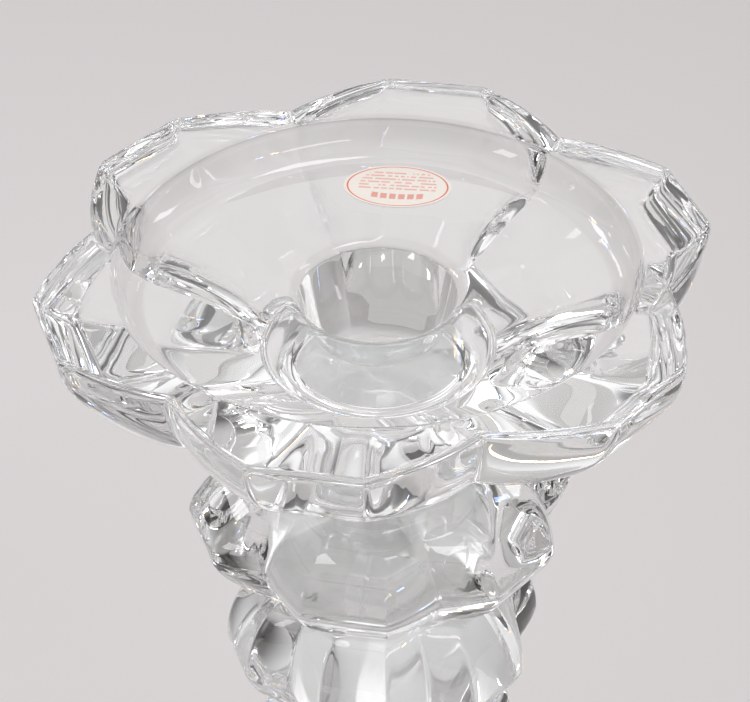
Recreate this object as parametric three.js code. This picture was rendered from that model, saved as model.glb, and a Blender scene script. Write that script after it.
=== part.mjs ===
// A clear crystal candlestick: a six-petal drip pan with a candle well, a stem of
// six-petal knops and a six-petal foot, bonded to each other with clear adhesive.
// Millimetres, +Z up. The origin is the middle of the face that the foot stands on.
import * as THREE from "three";

const petalCount = 6;
const notchPower = 3; // more keeps the change of level closer to the notches

// The drip pan. Depths are below the plane of its rim.
const pan = {
  bowlRadius: 34.5,
  bowlDepth: 5.1,
  flangeWidth: 3.9, // from the bowl's edge to the notch between two petals
  petalDepth: 6.6, // how far a petal's corners stand out past the notches
  cornerAngle: 9.1, // degrees from a petal's middle to its corner
  flankBow: 0.9, // how far a petal's flank bulges out of a straight line
  rimChamfer: 0.7,
  wallHeight: 11, // at a petal's middle
  wallInset: 5.3, // how far the wall's foot lies inside its rim, at a petal's corner
  wallLean: 2.2, // 1 is a straight wall, more bends it in nearer its foot
  notchHeight: 9.6, // the wall's height at a notch
  notchInset: 2.6,
  creaseDepth: 2, // how deep the creases between the petals cut into the underside
  collarRadius: 15.8,
  collarDepth: 24.5,
  collarRound: 1.5,
  neckFlare: 1.5, // height over which the collar draws in to the neck
};

// The well takes the foot of a standard taper candle.
const well = {
  boreRadius: 10.5, // where the flared mouth ends and the tapering bore begins
  flareWidth: 2.1, // how far the mouth curves out past the bore
  flareDepth: 0.9,
  footRadius: 8.9, // where the bore meets the round over the well's floor
  footRound: 4.5,
  depth: 16, // from the bowl's floor
  seatThickness: 11.9, // solid glass from the well's floor to the neck's underside
};

// Knops from the top down: the stem narrows to its fourth knop and widens again.
// `widest` is how far down its height a knop is widest, as a share of the height.
const knops = [
  { tipRadius: 26.8, height: 18.5, widest: 0.38 },
  { tipRadius: 22.6, height: 22, widest: 0.56 },
  { tipRadius: 19.2, height: 20, widest: 0.6 },
  { tipRadius: 16.6, height: 18, widest: 0.5 },
  { tipRadius: 19.2, height: 20, widest: 0.4 },
  { tipRadius: 22.6, height: 22, widest: 0.4 },
];
const knopNotchShare = 0.86; // notch radius over tip radius, at a knop's widest
const knopCornerAngle = 12.6;
const knopFlankBow = 0.4;
// 2 rounds a knop like an ellipse, and 1 makes it a straight cone.
const knopFullness = { above: 2, below: 1.5 };
const knopSteps = 10; // rings from a knop's top to its bottom, less one

// Radius of the flat where each section meets the next, from the pan's neck to the foot.
const jointRadii = [11.6, 13.5, 12, 10.5, 10.5, 12, 12.5];

const foot = {
  height: 48,
  recessRadius: 36,
  recessDepth: 3,
  standWidth: 8.5, // width of the ring it stands on, at a notch
  petalDepth: 7.5,
  cornerAngle: 9.1,
  flankBow: 1,
  edgeHeight: 9, // at a petal's middle
  notchHeight: 7.6,
  edgeInset: 3, // how far the edge's top lies inside its base
  baseChamfer: 0.8,
  collarRadius: 15.8,
  collarRound: 1.5,
  neckHeight: 6, // from the collar's top to the last knop
  bellHollow: 1.7, // 1 is a straight cone, more makes the bell hollower
  creaseDepth: 3.2,
};

const bond = {
  thickness: 0.25,
  inset: 0.5, // the adhesive stops this far inside the joint's edge
};

const label = {
  length: 15,
  width: 10.2,
  thickness: 0.1,
  edgeGap: 0.1, // from its outer edge to where the bowl's side begins
  angle: 64.6, // degrees from +X
};

const glass = { color: 0xe9eeee, roughness: 0.02, metalness: 0, transparent: true, opacity: 0.4 };
const adhesive = { color: 0xf2f4f2, roughness: 0.08, metalness: 0, transparent: true, opacity: 0.5 };
const paper = { color: 0xf1e4cc, roughness: 0.6, metalness: 0 };

const sector = (2 * Math.PI) / petalCount;
const radians = THREE.MathUtils.degToRad;

// Directions at which a petal outline is sampled: exactly at its notches and corners,
// and in equal steps between them.
function petalDirections(cornerAngle, flankSteps, tipSteps) {
  const corner = radians(cornerAngle);
  const directions = [];
  for (let petal = 0; petal < petalCount; petal++) {
    const middle = petal * sector;
    for (let i = 0; i < flankSteps; i++) {
      directions.push(middle + THREE.MathUtils.lerp(-sector / 2, -corner, i / flankSteps));
    }
    for (let i = 0; i < tipSteps; i++) {
      directions.push(middle + THREE.MathUtils.lerp(-corner, corner, i / tipSteps));
    }
    for (let i = 0; i < flankSteps; i++) {
      directions.push(middle + THREE.MathUtils.lerp(corner, sector / 2, i / flankSteps));
    }
  }
  return directions;
}

// How far a direction lies from the middle of its petal, in radians.
function offMiddle(direction) {
  return Math.abs(direction - sector * Math.round(direction / sector));
}

// Radius of a six-petal outline: a straight tip between two corners, and flanks that run
// from a corner to the notch with a slight bow.
function petalRadius(direction, tip, notch, cornerAngle, bow) {
  const off = offMiddle(direction);
  const corner = radians(cornerAngle);
  if (off <= corner) return (tip * Math.cos(corner)) / Math.cos(off);
  const from = new THREE.Vector2(tip * Math.cos(corner), tip * Math.sin(corner));
  const to = new THREE.Vector2(notch * Math.cos(sector / 2), notch * Math.sin(sector / 2));
  const flank = to.clone().sub(from);
  const ray = new THREE.Vector2(Math.cos(off), Math.sin(off));
  const along = (off - corner) / (sector / 2 - corner);
  return from.cross(flank) / ray.cross(flank) + 4 * bow * along * (1 - along);
}

// A closed body from rings stacked one after another, each a function from a direction to
// { radius, z }. A flat fan on the axis closes the first ring and the last. The rings go
// down the outside of the body, so that its faces point out.
function ringBody(directions, rings) {
  const count = directions.length;
  const positions = [];
  const indices = [];
  for (const ring of rings) {
    for (const direction of directions) {
      const { radius, z } = ring(direction);
      positions.push(radius * Math.cos(direction), radius * Math.sin(direction), z);
    }
  }
  for (let row = 0; row + 1 < rings.length; row++) {
    for (let i = 0; i < count; i++) {
      const next = (i + 1) % count;
      const a = row * count + i;
      const b = row * count + next;
      indices.push(a, a + count, b);
      indices.push(b, a + count, b + count);
    }
  }
  const firstPole = positions.length / 3;
  const lastPole = firstPole + 1;
  const lastRow = (rings.length - 1) * count;
  positions.push(0, 0, positions[2]);
  positions.push(0, 0, positions[3 * lastRow + 2]);
  for (let i = 0; i < count; i++) {
    const next = (i + 1) % count;
    indices.push(firstPole, i, next);
    indices.push(lastPole, lastRow + next, lastRow + i);
  }
  const geometry = new THREE.BufferGeometry();
  geometry.setAttribute("position", new THREE.Float32BufferAttribute(positions, 3));
  geometry.setIndex(indices);
  geometry.computeVertexNormals();
  return geometry;
}

function circle(radius, z) {
  return () => ({ radius, z });
}

// Points of a circular arc in a radius-height plane, as rings. Angles are in degrees.
function arcRings(centreRadius, centreZ, size, from, to, steps) {
  const rings = [];
  for (let i = 0; i <= steps; i++) {
    const angle = radians(THREE.MathUtils.lerp(from, to, i / steps));
    rings.push(circle(centreRadius + size * Math.cos(angle), centreZ + size * Math.sin(angle)));
  }
  return rings;
}

// The candle well, from its floor up its tapering bore and out over its flared mouth.
function wellRings(floorZ) {
  const footZ = floorZ - well.depth + well.footRound;
  const footCentre = well.footRadius - well.footRound;
  const flare = [0, 15, 30, 45, 60, 75, 90].map((angle) => {
    const outward = well.flareWidth * (1 - Math.cos(radians(angle)));
    const drop = well.flareDepth * (1 - Math.sin(radians(angle)));
    return circle(well.boreRadius + outward, floorZ - drop);
  });
  return [...arcRings(footCentre, footZ, well.footRound, -90, 0, 5), ...flare];
}

// The bowl's floor is flat out to here, where its side begins to curve up.
const floorRadius = pan.bowlRadius - pan.bowlDepth;

function bowlRings(rimZ) {
  return arcRings(floorRadius, rimZ, pan.bowlDepth, -90, 0, 5);
}

// A size that is one value at a petal's middle and another at its notches, and changes
// most near the notches.
function acrossPetal(direction, atMiddle, atNotch) {
  const share = (offMiddle(direction) / (sector / 2)) ** notchPower;
  return THREE.MathUtils.lerp(atMiddle, atNotch, share);
}

// The pan's wall at a share of its height, 0 at the rim and 1 at its foot. It leans in
// more and more on the way down.
function panWall(direction, share) {
  const lean = share ** pan.wallLean;
  const rimNotch = pan.bowlRadius + pan.flangeWidth;
  const tip = rimNotch + pan.petalDepth - pan.wallInset * lean;
  const notch = rimNotch - pan.notchInset * lean;
  return {
    radius: petalRadius(direction, tip, notch, pan.cornerAngle, pan.flankBow),
    z: -share * acrossPetal(direction, pan.wallHeight, pan.notchHeight),
  };
}

// The petalled edge, from the flange over the rim and down the leaning wall.
function panEdgeRings(rimZ) {
  const chamferShare = pan.rimChamfer / pan.wallHeight;
  const flangeEdge = (direction) => ({
    radius: panWall(direction, 0).radius - pan.rimChamfer,
    z: rimZ,
  });
  const wall = [chamferShare, 0.4, 0.65, 0.85, 1].map((share) => (direction) => {
    const { radius, z } = panWall(direction, share);
    return { radius, z: rimZ + z };
  });
  return [flangeEdge, ...wall];
}

// The underside: petals that narrow to the round collar, with a crease between each two.
function undersideRings(rimZ) {
  const steps = [0.2, 0.4, 0.6, 0.8];
  return steps.map((step) => (direction) => {
    const wallFoot = panWall(direction, 1);
    const crease = acrossPetal(direction, 0, pan.creaseDepth * Math.sin(Math.PI * step));
    return {
      radius: THREE.MathUtils.lerp(wallFoot.radius, pan.collarRadius, step),
      z: rimZ + THREE.MathUtils.lerp(wallFoot.z, -pan.collarDepth, step) + crease,
    };
  });
}

// From the pan's rim to its neck's underside.
const panDepth = pan.bowlDepth + well.depth + well.seatThickness;

// The collar under the petals, and the neck that stands on the first knop.
function neckRings(rimZ) {
  const collarCentre = pan.collarRadius - pan.collarRound;
  const collarZ = rimZ - pan.collarDepth;
  return [
    ...arcRings(collarCentre, collarZ, pan.collarRound, 0, -90, 3),
    circle(jointRadii[0], collarZ - pan.collarRound - pan.neckFlare),
    circle(jointRadii[0], rimZ - panDepth),
  ];
}

function panGeometry(rimZ) {
  const directions = petalDirections(pan.cornerAngle, 3, 4);
  return ringBody(directions, [
    ...wellRings(rimZ - pan.bowlDepth),
    ...bowlRings(rimZ),
    ...panEdgeRings(rimZ),
    ...undersideRings(rimZ),
    ...neckRings(rimZ),
  ]);
}

// A knop: round flats at its ends, and six petals where it is widest.
function knopGeometry(knop, topRadius, bottomRadius, topZ) {
  const directions = petalDirections(knopCornerAngle, 2, 2);
  const notchRadius = knop.tipRadius * knopNotchShare;
  const widestZ = topZ - knop.widest * knop.height;
  const bottomZ = topZ - knop.height;
  const wide = (direction) =>
    petalRadius(direction, knop.tipRadius, notchRadius, knopCornerAngle, knopFlankBow);
  const rings = [];
  for (let step = 0; step <= knopSteps; step++) {
    const level = Math.cos((Math.PI * step) / knopSteps);
    const power = level > 0 ? knopFullness.above : knopFullness.below;
    const fullness = (1 - Math.abs(level) ** power) ** (1 / power);
    const endRadius = level > 0 ? topRadius : bottomRadius;
    const endZ = level > 0 ? topZ : bottomZ;
    rings.push((direction) => ({
      radius: THREE.MathUtils.lerp(endRadius, wide(direction), fullness),
      z: THREE.MathUtils.lerp(widestZ, endZ, Math.abs(level)),
    }));
  }
  return ringBody(directions, rings);
}

// The foot's upright edge: 0 is its top and 1 its base.
function footEdge(direction, share) {
  const inset = foot.edgeInset * (1 - share) ** 2;
  const notch = foot.recessRadius + foot.standWidth - inset;
  const tip = notch + foot.petalDepth;
  return {
    radius: petalRadius(direction, tip, notch, foot.cornerAngle, foot.flankBow),
    z: (1 - share) * acrossPetal(direction, foot.edgeHeight, foot.notchHeight),
  };
}

// The foot: a neck with a collar, and a petalled bell that spreads to an upright edge. A
// shallow recess under it leaves it standing on its outer ring.
function footGeometry(topRadius) {
  const directions = petalDirections(foot.cornerAngle, 3, 4);
  const collarTop = foot.height - foot.neckHeight;
  const collarCentre = foot.collarRadius - foot.collarRound;
  const bellTop = collarTop - foot.collarRound;
  const bell = [0.1, 0.25, 0.45, 0.7].map((step) => (direction) => {
    const edge = footEdge(direction, 0);
    const crease = acrossPetal(direction, 0, foot.creaseDepth * Math.sin(Math.PI * step));
    const rise = (1 - step) ** foot.bellHollow;
    return {
      radius: THREE.MathUtils.lerp(foot.collarRadius, edge.radius, step),
      z: THREE.MathUtils.lerp(edge.z, bellTop, rise) - crease,
    };
  });
  const edge = [0, 0.4, 1 - foot.baseChamfer / foot.edgeHeight].map(
    (share) => (direction) => footEdge(direction, share),
  );
  const base = (direction) => ({
    radius: footEdge(direction, 1).radius - foot.baseChamfer,
    z: 0,
  });
  const recess = [1, 0.8, 0.6, 0.4].map((share) =>
    circle(share * foot.recessRadius, foot.recessDepth * (1 - share ** 2)),
  );
  return ringBody(directions, [
    circle(topRadius, foot.height),
    circle(topRadius, collarTop),
    ...arcRings(collarCentre, bellTop, foot.collarRound, 90, 0, 3),
    ...bell,
    ...edge,
    base,
    ...recess,
  ]);
}

function bondGeometry(jointRadius) {
  const radius = jointRadius - bond.inset;
  const geometry = new THREE.CylinderGeometry(radius, radius, bond.thickness, 36);
  return geometry.rotateX(Math.PI / 2);
}

function labelGeometry() {
  const outline = new THREE.Shape();
  outline.absellipse(0, 0, label.width / 2, label.length / 2, 0, 2 * Math.PI);
  const options = { depth: label.thickness, bevelEnabled: false, curveSegments: 32 };
  return new THREE.ExtrudeGeometry(outline, options);
}

function part(name, geometry, finish) {
  const mesh = new THREE.Mesh(geometry, new THREE.MeshStandardMaterial(finish));
  mesh.name = name;
  return mesh;
}

function candlestick() {
  const group = new THREE.Group();
  let z = foot.height;
  group.add(part("foot", footGeometry(jointRadii.at(-1)), glass));
  for (let i = knops.length - 1; i >= 0; i--) {
    const name = i === knops.length - 1 ? "foot_bond" : `knop_bond_${i + 1}`;
    const film = part(name, bondGeometry(jointRadii[i + 1]), adhesive);
    film.position.z = z + bond.thickness / 2;
    z += bond.thickness + knops[i].height;
    const shape = knopGeometry(knops[i], jointRadii[i], jointRadii[i + 1], z);
    group.add(film, part(`knop_${i + 1}`, shape, glass));
  }
  const panBond = part("pan_bond", bondGeometry(jointRadii[0]), adhesive);
  panBond.position.z = z + bond.thickness / 2;
  const rimZ = z + bond.thickness + panDepth;
  const panLabel = part("pan_label", labelGeometry(), paper);
  const direction = radians(label.angle);
  const distance = floorRadius - label.edgeGap - label.width / 2;
  panLabel.rotation.z = direction;
  panLabel.position.set(
    distance * Math.cos(direction),
    distance * Math.sin(direction),
    rimZ - pan.bowlDepth,
  );
  group.add(panBond, part("drip_pan", panGeometry(rimZ), glass), panLabel);
  return group;
}

export default candlestick();
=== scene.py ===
# Clear crystal candlestick: a petalled drip pan with a candle well, a stem of petalled
# knops and a petalled foot, bonded with clear adhesive. Metres, +Z up.
import math

import bpy
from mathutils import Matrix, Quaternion, Vector


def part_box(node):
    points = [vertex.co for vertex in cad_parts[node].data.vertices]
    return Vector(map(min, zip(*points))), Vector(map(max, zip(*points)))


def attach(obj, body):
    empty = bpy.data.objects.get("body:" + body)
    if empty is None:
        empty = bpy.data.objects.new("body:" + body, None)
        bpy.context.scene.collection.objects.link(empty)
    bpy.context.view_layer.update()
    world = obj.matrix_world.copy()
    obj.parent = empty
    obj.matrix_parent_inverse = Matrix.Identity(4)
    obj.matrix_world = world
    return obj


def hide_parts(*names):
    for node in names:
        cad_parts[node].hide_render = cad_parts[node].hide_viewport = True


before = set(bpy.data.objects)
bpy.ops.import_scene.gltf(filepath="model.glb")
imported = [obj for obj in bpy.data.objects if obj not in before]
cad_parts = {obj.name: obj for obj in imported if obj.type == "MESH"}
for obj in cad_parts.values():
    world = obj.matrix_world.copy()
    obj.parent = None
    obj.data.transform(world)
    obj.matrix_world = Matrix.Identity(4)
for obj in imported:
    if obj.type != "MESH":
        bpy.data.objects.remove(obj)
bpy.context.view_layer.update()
print("frame:", len(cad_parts), "nodes")

mm = 0.001
petalCount = 6
notchPower = 3.0  # more keeps the change of level closer to the notches
weldDistance = 2e-6
scene = bpy.context.scene
collection = scene.collection


class Wire:
    # a socket in a node tree; arithmetic on it adds Math nodes
    def __init__(self, net, socket):
        self.net = net
        self.socket = socket

    def maths(self, operation, *others, flip=False):
        values = [self, *others]
        if flip:
            values.reverse()
        made = self.net.add("ShaderNodeMath", {"operation": operation}, dict(enumerate(values)))
        return Wire(self.net, made.outputs[0])

    def __add__(self, other):
        return self.maths("ADD", other)

    def __sub__(self, other):
        return self.maths("SUBTRACT", other)

    def __rsub__(self, other):
        return self.maths("SUBTRACT", other, flip=True)

    def __mul__(self, other):
        return self.maths("MULTIPLY", other)

    def __truediv__(self, other):
        return self.maths("DIVIDE", other)

    def __rtruediv__(self, other):
        return self.maths("DIVIDE", other, flip=True)

    __radd__ = __add__
    __rmul__ = __mul__


class Net:
    # adds nodes to a tree
    def __init__(self, tree):
        self.tree = tree

    def add(self, kind, settings=None, values=None):
        made = self.tree.nodes.new(kind)
        for name, value in (settings or {}).items():
            setattr(made, name, value)
        for key, value in (values or {}).items():
            if isinstance(value, Wire):
                self.tree.links.new(value.socket, made.inputs[key])
            else:
                made.inputs[key].default_value = value
        return made

    def wire(self, kind, settings=None, values=None, output=0):
        return Wire(self, self.add(kind, settings, values).outputs[output])

    def blend(self, factor, first, second):
        # a colour between two others
        values = {0: factor, 6: first, 7: second}
        return self.wire("ShaderNodeMix", {"data_type": "RGBA"}, values, output=2)


# Every glass piece is a stack of rings. Round a ring, the radius goes from a plain circle
# to a petal outline by the ring's "petalled" share, and its height from a petal's middle
# to its notches.
ringValues = ("tip", "notch", "plain", "petalled", "middleZ", "notchZ")


def petalTree():
    tree = bpy.data.node_groups.new("petalBody", "GeometryNodeTree")
    face = tree.interface
    face.new_socket("Rings", in_out="INPUT", socket_type="NodeSocketGeometry")
    for name, kind in (
        ("Petals", "NodeSocketInt"), ("Steps", "NodeSocketInt"),
        ("Corner Angle", "NodeSocketFloat"), ("Flank Bow", "NodeSocketFloat"),
        ("Corner Softness", "NodeSocketFloat"), ("Notch Softness", "NodeSocketFloat"),
        ("Notch Power", "NodeSocketFloat"),
        ("Material", "NodeSocketMaterial"),
    ):
        face.new_socket(name, in_out="INPUT", socket_type=kind)
    face.new_socket("Body", in_out="OUTPUT", socket_type="NodeSocketGeometry")
    net = Net(tree)
    given = net.add("NodeGroupInput")

    def read(name):
        return Wire(net, given.outputs[name])

    rings = net.wire("GeometryNodeAttributeDomainSize", None, {"Geometry": read("Rings")})
    columns = read("Petals") * read("Steps") + 1
    grid = net.wire("GeometryNodeMeshGrid", None, {"Vertices X": rings, "Vertices Y": columns})
    index = net.wire("GeometryNodeInputIndex")
    ring = ((index + 0.5) / columns).maths("FLOOR")
    column = index - ring * columns

    def sample(name):
        named = net.wire("GeometryNodeInputNamedAttribute", {"data_type": "FLOAT"}, {"Name": name})
        return net.wire(
            "GeometryNodeSampleIndex", {"data_type": "FLOAT", "domain": "POINT"},
            {"Geometry": read("Rings"), "Value": named, "Index": ring},
        )

    tip, notch, plain, petalled, middleZ, notchZ = [sample(name) for name in ringValues]
    sector = 2 * math.pi / read("Petals")
    half = sector * 0.5
    direction = column / read("Steps") * sector
    off = (direction - sector * (direction / sector).maths("ROUND")).maths("ABSOLUTE")
    corner = read("Corner Angle")
    fromX = tip * corner.maths("COSINE")
    fromY = tip * corner.maths("SINE")
    flankX = notch * half.maths("COSINE") - fromX
    flankY = notch * half.maths("SINE") - fromY
    across = fromX * flankY - fromY * flankX

    def flank(angle):
        line = across / (angle.maths("COSINE") * flankY - angle.maths("SINE") * flankX)
        along = (angle - corner) / (half - corner)
        return line + 4 * read("Flank Bow") * along * (1 - along)

    sides = flank(off).maths("SMOOTH_MAX", flank(sector - off), read("Notch Softness"))
    outline = (fromX / off.maths("COSINE")).maths("SMOOTH_MIN", sides, read("Corner Softness"))
    radius = plain + (outline - plain) * petalled
    share = (off / half).maths("POWER", read("Notch Power"))
    height = middleZ + (notchZ - middleZ) * share
    place = net.wire("ShaderNodeCombineXYZ", None, {
        "X": radius * direction.maths("COSINE"), "Y": radius * direction.maths("SINE"), "Z": height,
    })
    body = net.wire("GeometryNodeSetPosition", None, {"Geometry": grid, "Position": place})
    body = net.wire("GeometryNodeMergeByDistance", None, {
        "Geometry": body, "Distance": weldDistance,
    })
    body = net.wire("GeometryNodeSetShadeSmooth", None, {"Geometry": body, "Shade Smooth": True})
    body = net.wire("GeometryNodeRealizeInstances", None, {"Geometry": body})
    body = net.wire("GeometryNodeSetMaterial", None, {
        "Geometry": body, "Material": read("Material"),
    })
    net.add("NodeGroupOutput", None, {"Body": body})
    return tree


def petalRing(tip, notch, middleZ, notchZ, plain=0, petalled=1):
    return {"tip": tip, "notch": notch, "plain": plain, "petalled": petalled,
            "middleZ": middleZ, "notchZ": notchZ}


def roundRing(radius, z):
    return petalRing(radius, radius, z, z, radius, 0)


def arc(centreRadius, centreZ, size, start, end, steps):
    # part of a round in the piece's section, angles in degrees
    rings = []
    for i in range(steps + 1):
        angle = math.radians(start + (end - start) * i / steps)
        across, up = size * math.cos(angle), size * math.sin(angle)
        rings.append(roundRing(centreRadius + across, centreZ + up))
    return rings


def quarter(width, height, steps):
    # a quarter round as (across, down) pairs, from (0, height) to (width, 0)
    angles = [math.radians(90 * i / steps) for i in range(steps + 1)]
    return [(width * (1 - math.cos(a)), height * (1 - math.sin(a))) for a in angles]


def mix(a, b, share):
    return a + (b - a) * share


def petalBody(name, rings, outline, material, tree):
    # rings run down the outside of the piece, in millimetres
    mesh = bpy.data.meshes.new(name)
    mesh.from_pydata([(r["tip"] * mm, 0, r["middleZ"] * mm) for r in rings], [], [])
    for value in ringValues:
        scale = 1 if value == "petalled" else mm
        attribute = mesh.attributes.new(value, "FLOAT", "POINT")
        attribute.data.foreach_set("value", [r[value] * scale for r in rings])
    piece = bpy.data.objects.new(name, mesh)
    collection.objects.link(piece)
    modifier = piece.modifiers.new("petals", "NODES")
    modifier.node_group = tree
    inputs = {
        "Petals": petalCount, "Steps": outline["steps"],
        "Corner Angle": math.radians(outline["cornerAngle"]),
        "Flank Bow": outline["flankBow"] * mm,
        "Corner Softness": outline["cornerSoftness"] * mm,
        "Notch Softness": outline["notchSoftness"] * mm,
        "Notch Power": notchPower,
        "Material": material,
    }
    for item in tree.interface.items_tree:
        if item.name in inputs:
            modifier[item.identifier] = inputs[item.name]
    bpy.context.view_layer.update()
    evaluated = piece.evaluated_get(bpy.context.evaluated_depsgraph_get())
    solid = bpy.data.meshes.new_from_object(evaluated)
    piece.modifiers.remove(modifier)
    piece.data = solid
    solid.name = name
    solid.set_sharp_from_angle(angle=math.radians(outline["crease"]))
    return piece


def newMaterial(name):
    material = bpy.data.materials.new(name)
    material.use_nodes = True
    net = Net(material.node_tree)
    material.node_tree.nodes.clear()
    return material, net


crystalLook = {
    "tint": (0.985, 0.99, 0.99, 1), "refraction": 1.54,
    "waveScale": 70, "waveDetail": 1.5, "waveStrength": 0.05, "waveDepth": 0.002,
    "markScale": 900, "markDetail": 2, "markRoughness": 0.008,
}


def crystal():
    look = crystalLook
    material, net = newMaterial("clearCrystal")
    place = net.wire("ShaderNodeTexCoord", output=3)
    # slow waves left by the mould, and fine marks that only gloss shows
    waves = net.wire("ShaderNodeTexNoise", None, {
        "Vector": place, "Scale": look["waveScale"], "Detail": look["waveDetail"],
    })
    marks = net.wire("ShaderNodeTexNoise", None, {
        "Vector": place, "Scale": look["markScale"], "Detail": look["markDetail"],
    })
    bump = net.wire("ShaderNodeBump", None, {
        "Height": waves, "Strength": look["waveStrength"], "Distance": look["waveDepth"],
    })
    shader = net.wire("ShaderNodeBsdfPrincipled", None, {
        "Base Color": look["tint"], "Roughness": marks * look["markRoughness"],
        "IOR": look["refraction"], "Transmission Weight": 1, "Normal": bump,
    })
    net.add("ShaderNodeOutputMaterial", None, {"Surface": shader})
    return material


def bondedFace():
    # glass under adhesive: nothing bends there
    material, net = newMaterial("bondedCrystal")
    shader = net.wire("ShaderNodeBsdfPrincipled", None, {
        "Base Color": (1, 1, 1, 1), "Roughness": 0, "Transmission Weight": 0, "Alpha": 0,
    })
    net.add("ShaderNodeOutputMaterial", None, {"Surface": shader})
    return material


adhesiveLook = {
    "tint": (0.95, 0.96, 0.95, 1), "roughness": 0.08, "alpha": 0.3,
    "speckScale": 2500, "speckRoughness": 0.04,
    # painted glow: light given off by the film itself, which is no lamp
    "paintedGlow": (1, 1, 0.99, 1), "paintedGlowStrength": 0.15,
}


def adhesive():
    look = adhesiveLook
    material, net = newMaterial("clearAdhesive")
    place = net.wire("ShaderNodeTexCoord", output=3)
    specks = net.wire("ShaderNodeTexNoise", None, {
        "Vector": place, "Scale": look["speckScale"], "Detail": 0,
    })
    # slightly cloudy, and a painted glow stands in for the light that runs in the glass and the
    # cloud carries
    shader = net.wire("ShaderNodeBsdfPrincipled", None, {
        "Base Color": look["tint"], "Alpha": look["alpha"],
        "Roughness": look["roughness"] + specks * look["speckRoughness"],
        "Emission Color": look["paintedGlow"], "Emission Strength": look["paintedGlowStrength"],
    })
    net.add("ShaderNodeOutputMaterial", None, {"Surface": shader})
    return material


# Sizes on the label's face are shares of its half width, and run across the rows.
labelLook = {
    "paper": (0.93, 0.87, 0.8, 1), "ink": (0.78, 0.2, 0.14, 1), "backing": (0.9, 0.89, 0.87, 1),
    "halfLength": 7.5, "halfWidth": 5.1, "turn": 64.6,
    "border": 0.03, "borderInset": 0.07,
    "rows": (-0.16, 0.74), "rowPitch": 0.15, "rowShare": 0.42, "rowReach": 0.72, "rowInk": 0.6,
    "headline": -0.5, "headlineArch": 0.3, "headlineHeight": 0.24, "headlineReach": 0.5,
    "headlineInk": 0.7,
    "wordCount": 14, "wordShift": 3.7, "wordGap": 0.42, "blockCount": 6, "blockShare": 0.72,
    "fibreScale": 3000, "fibreDetail": 3, "fibreBump": 0.2, "fibreDepth": 0.0001,
    "roughness": 0.5, "fibreRoughness": 0.2,
    # a painted glow from the paper itself, dimmed on the printed face
    "paintedGlowStrength": 0.36, "faceGlowDimming": 0.6,
}


def labelPaper():
    look = labelLook
    material, net = newMaterial("labelPaper")
    place = net.wire("ShaderNodeTexCoord", output=3)
    fibres = net.wire("ShaderNodeTexNoise", None, {
        "Vector": place, "Scale": look["fibreScale"], "Detail": look["fibreDetail"],
    })
    low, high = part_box("pan_label")
    centre = (low + high) / 2
    turned = net.add("ShaderNodeMapping", {"vector_type": "TEXTURE"}, {
        "Vector": place, "Location": centre, "Rotation": (0, 0, math.radians(look["turn"])),
    })
    axes = net.add("ShaderNodeSeparateXYZ", None, {"Vector": Wire(net, turned.outputs[0])})
    x = Wire(net, axes.outputs[0]) / (look["halfWidth"] * mm)
    y = Wire(net, axes.outputs[1]) / (look["halfLength"] * mm)
    reach = (x * x + y * y).maths("SQRT")
    ring = (reach - (1 - look["borderInset"])).maths("ABSOLUTE")
    border = ring.maths("LESS_THAN", look["border"] / 2)
    # plain bars stand for the lines of print: thin rows, and a bolder arched one
    first, last = look["rows"]
    inRow = ((x - first) / look["rowPitch"]).maths("FRACT").maths("LESS_THAN", look["rowShare"])
    inBlock = x.maths("GREATER_THAN", first) * x.maths("LESS_THAN", last)
    rowEnd = (1 - x * x).maths("SQRT") * look["rowReach"]
    rows = inRow * inBlock * y.maths("ABSOLUTE").maths("LESS_THAN", rowEnd)
    arch = (x - look["headline"] - y * y * look["headlineArch"]).maths("ABSOLUTE")
    headline = arch.maths("LESS_THAN", look["headlineHeight"] / 2)
    headline = headline * y.maths("ABSOLUTE").maths("LESS_THAN", look["headlineReach"])
    # the rows break up like words, at random lengths, and the bolder one in even blocks
    row = ((x - first) / look["rowPitch"]).maths("FLOOR")
    spot = net.wire("ShaderNodeCombineXYZ", None, {
        0: y * look["wordCount"], 1: row * look["wordShift"],
    })
    words = net.wire("ShaderNodeTexNoise", None, {"Vector": spot, "Scale": 1.0, "Detail": 0})
    rows = rows * words.maths("GREATER_THAN", look["wordGap"])
    blocks = (y * look["blockCount"]).maths("FRACT").maths("LESS_THAN", look["blockShare"])
    headline = headline * blocks
    # fine print covers less of the paper than the border does
    bold = border.maths("MAXIMUM", headline * look["headlineInk"])
    ink = bold.maths("MAXIMUM", rows * look["rowInk"])
    # only the face is printed; the glued back is plain, and the light that comes through the paper
    # there is painted on as a glow
    facing = net.wire("ShaderNodeTexCoord", output=1)
    rise = net.add("ShaderNodeSeparateXYZ", None, {"Vector": facing})
    printed = Wire(net, rise.outputs[2]).maths("GREATER_THAN", 0.5)
    face = net.blend(ink, look["paper"], look["ink"])
    shade = net.blend(printed, look["backing"], face)
    # painted glow: light given off by the paper, stronger on the plain back
    paintedGlow = net.blend(1 - printed * look["faceGlowDimming"], (0, 0, 0, 1), shade)
    bump = net.wire("ShaderNodeBump", None, {
        "Height": fibres, "Strength": look["fibreBump"], "Distance": look["fibreDepth"],
    })
    shader = net.wire("ShaderNodeBsdfPrincipled", None, {
        "Base Color": shade, "Normal": bump,
        "Roughness": look["roughness"] + fibres * look["fibreRoughness"],
        "Emission Color": paintedGlow, "Emission Strength": look["paintedGlowStrength"],
    })
    net.add("ShaderNodeOutputMaterial", None, {"Surface": shader})
    return material


glass = crystal()
bonded = bondedFace()
print("materials made")

tree = petalTree()


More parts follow.
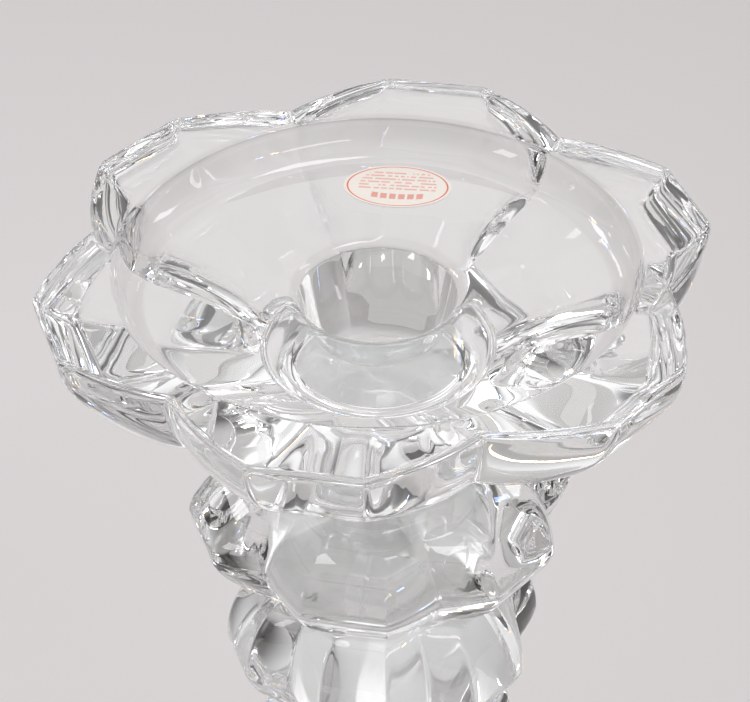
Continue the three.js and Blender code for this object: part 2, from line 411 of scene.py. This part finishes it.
def bondFaces(piece, top=None, bottom=None):
    # the flat of a joint, as far out as the adhesive goes, takes the bonded face
    piece.data.materials.append(bonded)
    joints = [(filmRadius(film), z * mm) for film, z in (top, bottom) if film]
    onFlat = 0.01 * mm
    for face in piece.data.polygons:
        reach = math.hypot(*face.center.xy)
        if any(abs(face.center.z - z) < onFlat and reach < film for film, z in joints):
            face.material_index = 1


def filmRadius(film):
    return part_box(film)[1].x


def spanOf(node):
    low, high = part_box(node)
    return low.z / mm, high.z / mm


def finishPiece(piece, node):
    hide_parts(node)
    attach(piece, "root")


pan = {
    "bowlRadius": 34.5, "bowlDepth": 5.1, "notchRadius": 38.4, "petalDepth": 6.6,
    "rimRound": 0.9, "bowlEdgeRound": 0.8, "bowlEdgeReach": 0.6,
    "bowlSideEnd": -8, "bowlEdgeStart": 150,
    "wallHeight": 11, "wallInset": 5.3, "wallLean": 2.2, "notchHeight": 9.6, "notchInset": 2.6,
    "creaseDepth": 2, "collarRadius": 15.8, "collarDepth": 24.5, "collarRound": 1.5,
    "neckFlare": 1.5, "neckRadius": 11.6, "neckBevel": 0.2,
    "boreRadius": 10.5, "flareWidth": 2.1, "flareDepth": 0.9,
    "wellFootRadius": 8.9, "wellFootRound": 4.5, "wellDepth": 16,
    "wellFootSteps": 12, "flareSteps": 16, "bowlSteps": 14, "bowlEdgeSteps": 4, "rimSteps": 8,
    "wallSteps": 14, "undersideSteps": 24, "collarSteps": 8,
    "outline": {"steps": 96, "cornerAngle": 9.1, "flankBow": 0.9, "cornerSoftness": 0.8,
                "notchSoftness": 0.7, "crease": 40},
}


def panWall(share, rimZ):
    lean = share ** pan["wallLean"]
    notch = pan["notchRadius"] - pan["notchInset"] * lean
    tip = pan["notchRadius"] + pan["petalDepth"] - pan["wallInset"] * lean
    return petalRing(tip, notch,
                     rimZ - share * pan["wallHeight"], rimZ - share * pan["notchHeight"])


def wellRings(floorZ):
    # from the middle of the well's floor, up its bore and out over its mouth
    seatZ = floorZ - pan["wellDepth"]
    footRound = pan["wellFootRound"]
    footCentre = pan["wellFootRadius"] - footRound
    rings = [roundRing(0, seatZ), roundRing(footCentre * 0.6, seatZ)]
    rings += arc(footCentre, seatZ + footRound, footRound, -90, 0, pan["wellFootSteps"])
    rings += [
        roundRing(mix(pan["wellFootRadius"], pan["boreRadius"], share),
                  mix(seatZ + footRound, floorZ - pan["flareDepth"], share))
        for share in (0.2, 0.4, 0.6, 0.8)
    ]
    flare = quarter(pan["flareWidth"], pan["flareDepth"], pan["flareSteps"])
    rings += [roundRing(pan["boreRadius"] + out, floorZ - down) for out, down in flare]
    return rings


def bowlRings(floorZ, rimZ):
    mouth = pan["boreRadius"] + pan["flareWidth"]
    floorRadius = pan["bowlRadius"] - pan["bowlDepth"]
    rings = [roundRing(mix(mouth, floorRadius, s), floorZ) for s in (0.1, 0.4, 0.7, 0.95)]
    rings += arc(floorRadius, rimZ, pan["bowlDepth"], -90, pan["bowlSideEnd"], pan["bowlSteps"])
    edge = pan["bowlEdgeRound"]
    rings += arc(pan["bowlRadius"] + edge * pan["bowlEdgeReach"], rimZ - edge, edge,
                 pan["bowlEdgeStart"], 90, pan["bowlEdgeSteps"])
    return rings


def undersideRings(rimZ, collarZ):
    foot = panWall(1, rimZ)
    rings = []
    for i in range(1, pan["undersideSteps"]):
        step = i / pan["undersideSteps"]
        crease = pan["creaseDepth"] * math.sin(math.pi * step)
        rings.append(petalRing(
            foot["tip"], foot["notch"],
            mix(foot["middleZ"], collarZ, step), mix(foot["notchZ"], collarZ, step) + crease,
            pan["collarRadius"], 1 - step,
        ))
    return rings


def neckRings(collarZ, bottomZ):
    size = pan["collarRound"]
    rings = arc(pan["collarRadius"] - size, collarZ, size, 0, -90, pan["collarSteps"])
    neckZ = collarZ - size - pan["neckFlare"]
    radius, bevel = pan["neckRadius"], pan["neckBevel"]
    film = filmRadius("pan_bond") / mm
    return rings + [
        roundRing(radius, neckZ), roundRing(radius, mix(neckZ, bottomZ, 0.5)),
        roundRing(radius, bottomZ + bevel), roundRing(radius - bevel, bottomZ),
        roundRing(film, bottomZ), roundRing(film * 0.5, bottomZ), roundRing(0, bottomZ),
    ]


def makePan():
    bottomZ, rimZ = spanOf("drip_pan")
    floorZ = rimZ - pan["bowlDepth"]
    collarZ = rimZ - pan["collarDepth"]
    rings = wellRings(floorZ) + bowlRings(floorZ, rimZ)
    # the flange ends in the rim's rounded edge
    size = pan["rimRound"]
    rim = panWall(0, rimZ)
    for inward, drop in reversed(quarter(size, size, pan["rimSteps"])):
        z = rimZ - drop
        rings.append(petalRing(rim["tip"] - inward, rim["notch"] - inward, z, z))
    first = size / pan["wallHeight"]
    steps = pan["wallSteps"]
    rings += [panWall(mix(first, 1, i / steps), rimZ) for i in range(1, steps + 1)]
    rings += undersideRings(rimZ, collarZ) + neckRings(collarZ, bottomZ)
    piece = petalBody("dripPan", rings, pan["outline"], glass, tree)
    bondFaces(piece, (None, rimZ), ("pan_bond", bottomZ))
    finishPiece(piece, "drip_pan")


knop = {
    "widest": (0.38, 0.56, 0.6, 0.5, 0.4, 0.4), "notchShare": 0.86,
    "fullness": (2, 1.5),
    "films": ("pan_bond", "knop_bond_1", "knop_bond_2", "knop_bond_3", "knop_bond_4",
              "knop_bond_5", "foot_bond"),
    "bondInset": 0.5, "steps": 40,
    "outline": {"steps": 60, "cornerAngle": 12.6, "flankBow": 0.4, "cornerSoftness": 0.5,
                "notchSoftness": 0.5, "crease": 40},
}


def makeKnop(i):
    node = f"knop_{i + 1}"
    bottomZ, topZ = spanOf(node)
    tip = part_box(node)[1].x / mm / math.cos(math.radians(knop["outline"]["cornerAngle"]))
    notch = tip * knop["notchShare"]
    widestZ = mix(topZ, bottomZ, knop["widest"][i])
    films = [filmRadius(name) / mm for name in knop["films"][i:i + 2]]
    joints = [film + knop["bondInset"] for film in films]
    rings = [roundRing(share * films[0], topZ) for share in (0, 0.5, 1)]
    for step in range(knop["steps"] + 1):
        level = math.cos(math.pi * step / knop["steps"])
        end = 0 if level > 0 else 1
        power = knop["fullness"][end]
        fullness = (1 - abs(level) ** power) ** (1 / power)
        z = mix(widestZ, topZ if level > 0 else bottomZ, abs(level))
        rings.append(petalRing(tip, notch, z, z, joints[end], fullness))
    rings += [roundRing(share * films[1], bottomZ) for share in (1, 0.5, 0)]
    piece = petalBody(f"knop{i + 1}", rings, knop["outline"], glass, tree)
    bondFaces(piece, (knop["films"][i], topZ), (knop["films"][i + 1], bottomZ))
    finishPiece(piece, node)


foot = {
    "recessRadius": 36, "recessDepth": 3, "notchRadius": 44.5, "petalDepth": 7.5,
    "edgeHeight": 9, "notchHeight": 7.6, "edgeInset": 3, "baseRound": 0.8,
    "collarRadius": 15.8, "collarRound": 1.5,
    "neckHeight": 6, "neckRadius": 12.5, "neckBevel": 0.2,
    "bellHollow": 1.7, "creaseDepth": 3.2,
    "collarSteps": 8, "bellSteps": 28, "edgeSteps": 10, "baseSteps": 5,
    "recessShares": (1, 0.98, 0.9, 0.8, 0.65, 0.5, 0.35, 0.2, 0),
    "outline": {"steps": 96, "cornerAngle": 9.1, "flankBow": 1, "cornerSoftness": 0.9,
                "notchSoftness": 0.8, "crease": 40},
}


def footEdge(share):
    inset = foot["edgeInset"] * (1 - share) ** 2
    notch = foot["notchRadius"] - inset
    return petalRing(notch + foot["petalDepth"], notch,
                     (1 - share) * foot["edgeHeight"], (1 - share) * foot["notchHeight"])


def bellRings(bellTop):
    edge = footEdge(0)
    rings = []
    for i in range(1, foot["bellSteps"]):
        step = i / foot["bellSteps"]
        crease = foot["creaseDepth"] * math.sin(math.pi * step)
        rise = (1 - step) ** foot["bellHollow"]
        rings.append(petalRing(
            edge["tip"], edge["notch"],
            mix(edge["middleZ"], bellTop, rise), mix(edge["notchZ"], bellTop, rise) - crease,
            foot["collarRadius"], step,
        ))
    return rings


def makeFoot():
    topZ = spanOf("foot")[1]
    film = filmRadius("foot_bond") / mm
    radius, bevel = foot["neckRadius"], foot["neckBevel"]
    collarTop = topZ - foot["neckHeight"]
    bellTop = collarTop - foot["collarRound"]
    rings = [
        roundRing(0, topZ), roundRing(film * 0.5, topZ), roundRing(film, topZ),
        roundRing(radius - bevel, topZ), roundRing(radius, topZ - bevel),
        roundRing(radius, mix(topZ, collarTop, 0.5)), roundRing(radius, collarTop),
    ]
    size = foot["collarRound"]
    rings += arc(foot["collarRadius"] - size, bellTop, size, 90, 0, foot["collarSteps"])
    rings += bellRings(bellTop)
    low = foot["baseRound"] / foot["edgeHeight"]
    steps = foot["edgeSteps"]
    rings += [footEdge(mix(0, 1 - low, i / steps)) for i in range(steps + 1)]
    size = foot["baseRound"]
    base = footEdge(1)
    for inward, rise in quarter(size, size, foot["baseSteps"])[1:]:
        rings.append(petalRing(base["tip"] - inward, base["notch"] - inward, rise, rise))
    rings += [
        roundRing(share * foot["recessRadius"], foot["recessDepth"] * (1 - share ** 2))
        for share in foot["recessShares"]
    ]
    piece = petalBody("foot", rings, foot["outline"], glass, tree)
    bondFaces(piece, ("foot_bond", topZ), (None, 0))
    finishPiece(piece, "foot")


makePan()
print("drip pan made")
for number in range(len(knop["widest"])):
    makeKnop(number)
print("knops made")
makeFoot()
print("foot made")


def finishNode(node, material):
    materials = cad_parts[node].data.materials
    materials.clear()
    materials.append(material)


clear = adhesive()
for film in knop["films"]:
    finishNode(film, clear)
finishNode("pan_label", labelPaper())
print("films and label finished")

view = {
    "azimuth": -18.3, "elevation": 35.6, "distance": 0.344, "lens": 126.7, "sensor": 36,
    "aimDrop": 0.01211, "aimLeft": 0.00046, "roll": -0.95, "nearest": 0.01, "farthest": 20,
}

studio = {
    "floorSize": 6.0, "floorDrop": 0.0005,
    # the near and far floor tones paint a pool of light around the candlestick
    "nearFloor": (0.9, 0.872, 0.868, 1), "farFloor": (0.62, 0.6, 0.595, 1),
    "poolBehind": 0.17, "poolLeft": 0.1, "floorFalloff": (0.08, 0.8),
    "ceiling": (1.0, 0.995, 1.0, 1), "walls": (0.035, 0.032, 0.03, 1),
    "wallTop": (0.42, 0.98), "wallTilt": 0.15,
    "farWall": (0.5, 0.49, 0.48, 1), "farWallEdge": (0.25, 0.78),
    "window": (1.6, 1.6, 1.6, 1), "windowHeight": 36, "windowEdge": (0.955, 0.992),
}

turn = math.radians(view["azimuth"])
away = Vector((-math.sin(turn), math.cos(turn), 0))


def makeFloor():
    half = studio["floorSize"] / 2
    corners = [(-half, -half, 0), (half, -half, 0), (half, half, 0), (-half, half, 0)]
    mesh = bpy.data.meshes.new("floor")
    mesh.from_pydata(corners, [], [(0, 1, 2, 3)])
    floor = bpy.data.objects.new("floor", mesh)
    collection.objects.link(floor)
    floor.location.z = -studio["floorDrop"]
    material, net = newMaterial("paleFloor")
    # a painted pool of light: the floor's colour falls off away from the candlestick
    place = net.wire("ShaderNodeTexCoord", output=3)
    left = Vector((-math.cos(turn), -math.sin(turn), 0))
    pool = away * studio["poolBehind"] + left * studio["poolLeft"]
    distance = {"operation": "DISTANCE"}
    reach = net.wire("ShaderNodeVectorMath", distance, {0: place, 1: pool}, output=1)
    near, far = studio["floorFalloff"]
    share = net.wire("ShaderNodeMapRange", None, {0: reach, 1: near, 2: far})
    tone = net.blend(share, studio["nearFloor"], studio["farFloor"])
    shader = net.wire("ShaderNodeBsdfDiffuse", None, {"Color": tone})
    net.add("ShaderNodeOutputMaterial", None, {"Surface": shader})
    mesh.materials.append(material)


def makeRoom():
    world = bpy.data.worlds.new("room")
    world.use_nodes = True
    world.node_tree.nodes.clear()
    net = Net(world.node_tree)
    # a bright ceiling over dark walls, and a paler wall with a window behind
    direction = net.wire("ShaderNodeTexCoord")

    def towards(axis):
        dot = {"operation": "DOT_PRODUCT"}
        return net.wire("ShaderNodeVectorMath", dot, {0: direction, 1: axis}, output=1)

    def share(value, limits):
        return net.wire("ShaderNodeMapRange", {"interpolation_type": "SMOOTHSTEP"},
                        {0: value, 1: limits[0], 2: limits[1]})

    z = towards((0, 0, 1))
    back = towards(away)
    rise = math.radians(studio["windowHeight"])
    atWindow = towards(away * math.cos(rise) + Vector((0, 0, math.sin(rise))))
    wall = net.blend(share(back, studio["farWallEdge"]), studio["walls"], studio["farWall"])
    up = share(z + back * studio["wallTilt"], studio["wallTop"])
    tone = net.blend(up, wall, studio["ceiling"])
    tone = net.blend(share(atWindow, studio["windowEdge"]), tone, studio["window"])
    light = net.wire("ShaderNodeBackground", None, {"Color": tone, "Strength": 1})
    net.add("ShaderNodeOutputWorld", None, {"Surface": light})
    scene.world = world


white, warm, cool = (1, 1, 1), (1, 0.6, 0.28), (0.35, 0.5, 1)
# name, place, size, power and colour; the small tinted ones give the edges their glints
softboxes = (
    ("overhead", (0.25, 0.3, 1.2), (0.22, 0.22), 0.8, white),
    ("behind", (-0.5, 1.0, 1.0), (0.2, 0.2), 0.8, white),
    ("leftSide", (-1.0, -0.2, 0.7), (0.15, 0.3), 0.65, white),
    ("near", (0.2, -0.9, 1.2), (0.6, 0.12), 1.0, white),
    ("rightSide", (1.1, 0.1, 0.8), (0.12, 0.35), 0.65, white),
    ("warmGlint", (0.55, -0.85, 1.15), (0.08, 0.08), 0.45, warm),
    ("coolGlint", (0.68, -0.78, 1.1), (0.08, 0.08), 0.45, cool),
    ("warmEdge", (-0.66, 0.92, 1.0), (0.08, 0.08), 0.4, warm),
    ("coolEdge", (-0.34, 1.06, 1.0), (0.08, 0.08), 0.4, cool),
)
softboxTarget = Vector((0, 0, 0.12))


def softbox(name, place, size, power, colour):
    light = bpy.data.lights.new(name, "AREA")
    light.shape = "RECTANGLE"
    light.size, light.size_y = size
    light.energy = power
    light.color = colour
    lamp = bpy.data.objects.new(name, light)
    collection.objects.link(lamp)
    lamp.location = place
    aim = softboxTarget - Vector(place)
    lamp.rotation_euler = aim.to_track_quat("-Z", "Y").to_euler()


def makeCamera():
    rimCentre = Vector((0, 0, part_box("drip_pan")[1].z))
    rise = math.radians(view["elevation"])
    back = Vector((math.sin(turn) * math.cos(rise), -math.cos(turn) * math.cos(rise),
                   math.sin(rise)))
    right = Vector((math.cos(turn), math.sin(turn), 0))
    up = back.cross(right)
    camera = bpy.data.cameras.new("camera")
    camera.lens = view["lens"]
    camera.sensor_width = view["sensor"]
    camera.clip_start = view["nearest"]
    camera.clip_end = view["farthest"]
    rig = bpy.data.objects.new("camera", camera)
    collection.objects.link(rig)
    rig.location = rimCentre + back * view["distance"]
    aim = rimCentre - up * view["aimDrop"] - right * view["aimLeft"]
    look = (aim - rig.location).to_track_quat("-Z", "Y")
    rig.rotation_mode = "QUATERNION"
    rig.rotation_quaternion = look @ Quaternion((0, 0, 1), math.radians(view["roll"]))
    scene.camera = rig


makeFloor()
makeRoom()
for lamp in softboxes:
    softbox(*lamp)
makeCamera()
scene.view_settings.view_transform = "Standard"
# light crosses many faces inside the stem
lightBounces = 32
scene.cycles.max_bounces = lightBounces
scene.cycles.glossy_bounces = lightBounces
scene.cycles.transmission_bounces = lightBounces
scene.cycles.transparent_max_bounces = lightBounces
print("studio and camera ready")
